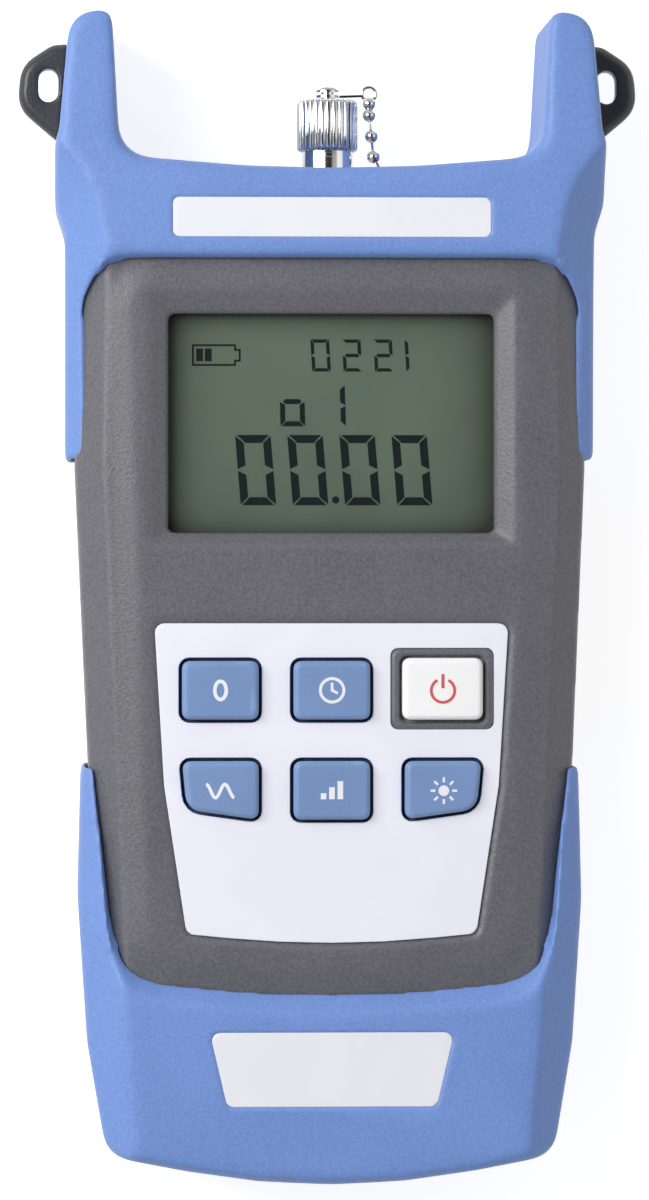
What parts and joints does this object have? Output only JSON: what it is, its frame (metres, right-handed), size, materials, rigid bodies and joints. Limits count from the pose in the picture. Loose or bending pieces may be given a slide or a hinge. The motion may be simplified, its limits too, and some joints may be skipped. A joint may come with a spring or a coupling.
{
  "type": "optical power meter",
  "caption": "Handheld optical power meter: grey case in blue end boots with raised horns, display, keypad, round fibre receptacle with a chained dust cap, battery door on the back.",
  "frame": {"origin": "middle of the surface under the boots, centre of the bounding box in X and Y", "axes": "+Y towards the optical receptacle, +Z out of the display face, +X to the right as the display is read"},
  "size_m": [0.0934, 0.175, 0.033],
  "materials": {
    "case_plastic": "fine spark texture",
    "boot_rubber": "satin, fine grain",
    "lug_plastic": "satin",
    "label_plate": "satin",
    "panel_plate": "satin silver white",
    "key_blue": "satin",
    "key_white": "satin",
    "clear_window": "clear acrylic",
    "lcd_face": "grey green reflective display",
    "white_plastic": "plain",
    "black_plastic": "plain",
    "black_rubber": "plain",
    "board_laminate": "solder mask",
    "screw_steel": "zinc plated",
    "spring_strip": "nickel plated strip",
    "gilt_can": "gold plated",
    "nickel": "bright nickel plate",
    "sleeve_ceramic": "polished zirconia",
    "cell_can": "plain wrap, no print"
  },
  "bodies": {
    "case": {"front_shell": "case_plastic", "rear_shell": "case_plastic", "top_boot": "boot_rubber", "bottom_boot": "boot_rubber", "strap_lug_left": "lug_plastic", "strap_lug_right": "lug_plastic", "top_label": "label_plate", "bottom_label": "label_plate", "keypad_panel": "panel_plate", "switch_bodies": "black_plastic", "display_window": "clear_window", "lcd_glass": "lcd_face", "lcd_frame": "white_plastic", "backlight_panel": "white_plastic", "contact_strips": "black_rubber", "main_board": "board_laminate", "board_screws": "screw_steel", "case_screws": "screw_steel", "processor_chip": "black_plastic", "amplifier_chip": "black_plastic", "detector_can": "gilt_can", "receptacle_body": "nickel", "alignment_sleeve": "sleeve_ceramic", "receptacle_screws": "screw_steel", "bead_chain": "nickel", "chain_anchor": "nickel", "contacts_low": "spring_strip", "contacts_high": "spring_strip", "cell_left": "cell_can", "cell_middle": "cell_can", "cell_right": "cell_can"},
    "key_power_body": {"key_power": "key_white", "plunger_power": "black_plastic"},
    "key_timer_body": {"key_timer": "key_blue", "plunger_timer": "black_plastic"},
    "key_zero_body": {"key_zero": "key_blue", "plunger_zero": "black_plastic"},
    "key_light_body": {"key_light": "key_blue", "plunger_light": "black_plastic"},
    "key_unit_body": {"key_unit": "key_blue", "plunger_unit": "black_plastic"},
    "key_wave_body": {"key_wave": "key_blue", "plunger_wave": "black_plastic"},
    "chain_carrier": {"chain_eyelet": "nickel"},
    "cap": {"dust_cap": "nickel", "cap_rivet": "nickel"},
    "door": {"battery_door": "case_plastic"}
  },
  "joints": [
    {"name": "press_power", "type": "slide", "parent": "case", "child": "key_power_body", "axis": [0, 0, -1], "range_m": [0, 0.0005], "stiffness_N_per_m": 2000, "springref_m": -0.0004},
    {"name": "press_timer", "type": "slide", "parent": "case", "child": "key_timer_body", "axis": [0, 0, -1], "range_m": [0, 0.0005], "stiffness_N_per_m": 2000, "springref_m": -0.0004},
    {"name": "press_zero", "type": "slide", "parent": "case", "child": "key_zero_body", "axis": [0, 0, -1], "range_m": [0, 0.0005], "stiffness_N_per_m": 2000, "springref_m": -0.0004},
    {"name": "press_light", "type": "slide", "parent": "case", "child": "key_light_body", "axis": [0, 0, -1], "range_m": [0, 0.0005], "stiffness_N_per_m": 2000, "springref_m": -0.0004},
    {"name": "press_unit", "type": "slide", "parent": "case", "child": "key_unit_body", "axis": [0, 0, -1], "range_m": [0, 0.0005], "stiffness_N_per_m": 2000, "springref_m": -0.0004},
    {"name": "press_wave", "type": "slide", "parent": "case", "child": "key_wave_body", "axis": [0, 0, -1], "range_m": [0, 0.0005], "stiffness_N_per_m": 2000, "springref_m": -0.0004},
    {"name": "cap_lift", "type": "slide", "parent": "case", "child": "chain_carrier", "axis": [0, 1, 0], "range_m": [0, 0.006], "deforming": ["bead_chain"]},
    {"name": "cap_turn", "type": "hinge", "parent": "chain_carrier", "child": "cap", "pos_m": [0, 0.0713, 0.0165], "axis": [0, 1, 0], "range_deg": [0, 2880]},
    {"name": "door_slide", "type": "slide", "parent": "case", "child": "door", "axis": [0, -1, 0], "range_m": [0, 0.008]}
  ],
  "couplings": [
    {"joint": "cap_turn", "follows": "cap_lift", "rad_per_m": 8377.6}
  ]
}
